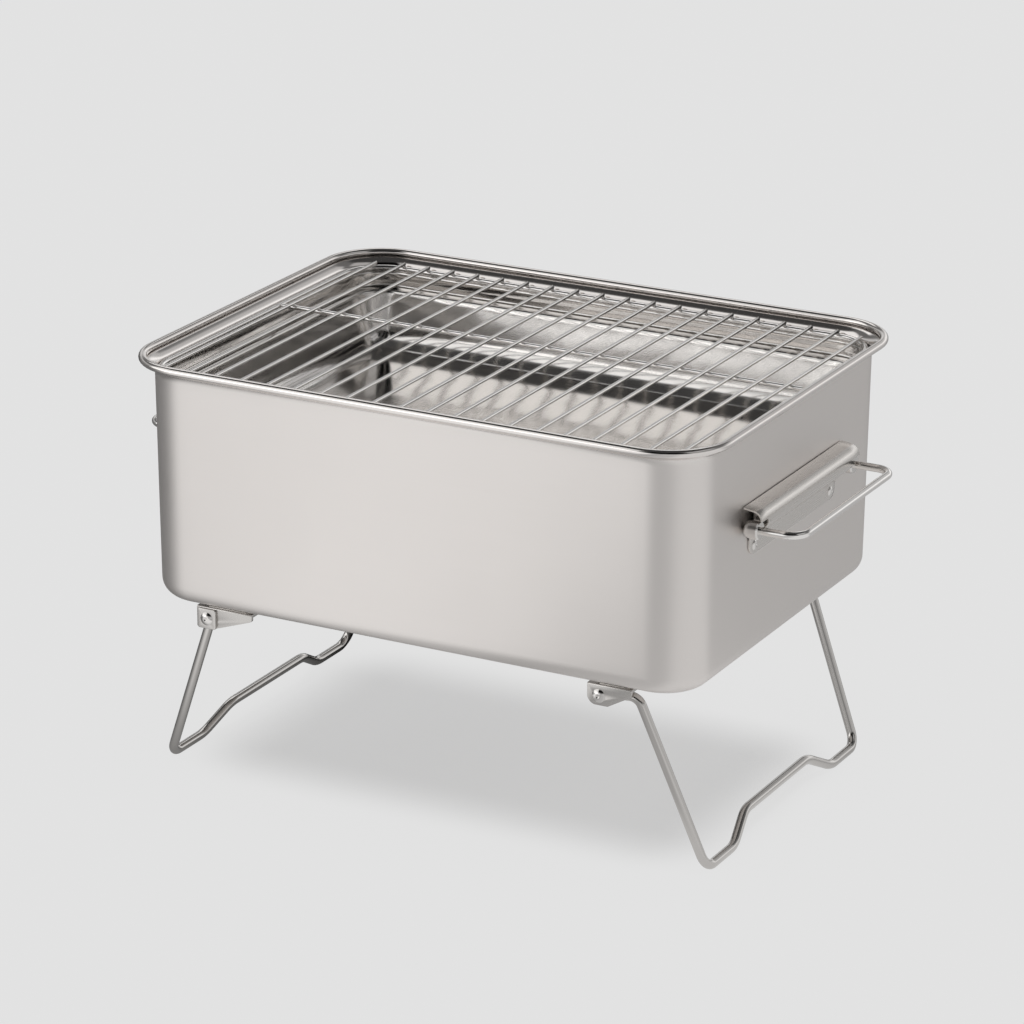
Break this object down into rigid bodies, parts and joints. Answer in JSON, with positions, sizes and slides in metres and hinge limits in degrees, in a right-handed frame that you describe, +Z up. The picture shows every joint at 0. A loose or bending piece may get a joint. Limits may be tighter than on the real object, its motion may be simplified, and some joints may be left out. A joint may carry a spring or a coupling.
{
  "type": "folding charcoal grill",
  "caption": "Rectangular deep-drawn steel grill tub on folding wire legs, with drop handles, a lift-out charcoal pan and a lift-out wire cooking grate.",
  "frame": {"origin": "centre of the outline on the ground, between the two wire feet", "axes": "+X along the long side to the right handle, -Y to the front, +Z up"},
  "size_m": [0.4578, 0.302, 0.276],
  "materials": {
    "satin_steel": "satin brushed",
    "polished_steel": "polished",
    "wire_steel": "drawn bright wire"
  },
  "bodies": {
    "tub": {"tub_shell": "satin_steel", "pan_clips": "satin_steel", "leg_bracket_front_left": "satin_steel", "leg_bracket_back_left": "satin_steel", "leg_bracket_front_right": "satin_steel", "leg_bracket_back_right": "satin_steel", "bracket_pads": "satin_steel", "leg_left_pivot_plates": "satin_steel", "leg_left_pivot_pins": "polished_steel", "leg_right_pivot_pins": "polished_steel", "handle_right_hood": "satin_steel", "handle_left_hood": "satin_steel", "handle_right_rivets": "polished_steel", "handle_left_rivets": "polished_steel"},
    "leg_left": {"leg_left_wire": "wire_steel"},
    "leg_right": {"leg_right_wire": "wire_steel"},
    "handle_left": {"handle_left_grip": "wire_steel", "handle_left_barrels": "polished_steel", "handle_left_rod": "wire_steel"},
    "handle_right": {"handle_right_grip": "wire_steel", "handle_right_barrels": "polished_steel", "handle_right_rod": "wire_steel"},
    "pan": {"charcoal_pan": "polished_steel"},
    "cooking_grate": {"grate_frame": "wire_steel", "grate_bars": "wire_steel", "grate_brace": "wire_steel"}
  },
  "joints": [
    {"name": "left_leg_fold", "type": "hinge", "parent": "tub", "child": "leg_left", "pos_m": [-0.15, 0, 0.1075], "axis": [0, -1, 0], "range_deg": [0, 106]},
    {"name": "right_leg_fold", "type": "hinge", "parent": "tub", "child": "leg_right", "pos_m": [0.123, 0, 0.1075], "axis": [0, 1, 0], "range_deg": [0, 118]},
    {"name": "left_handle_drop", "type": "hinge", "parent": "tub", "child": "handle_left", "pos_m": [-0.19545, 0, 0.2075], "axis": [0, -1, 0], "range_deg": [0, 86]},
    {"name": "right_handle_drop", "type": "hinge", "parent": "tub", "child": "handle_right", "pos_m": [0.19545, 0, 0.2075], "axis": [0, 1, 0], "range_deg": [0, 86]},
    {"name": "pan_lift", "type": "slide", "parent": "tub", "child": "pan", "axis": [0, 0, 1], "range_m": [0, 0.12]},
    {"name": "grate_lift", "type": "slide", "parent": "pan", "child": "cooking_grate", "axis": [0, 0, 1], "range_m": [0, 0.1]}
  ]
}
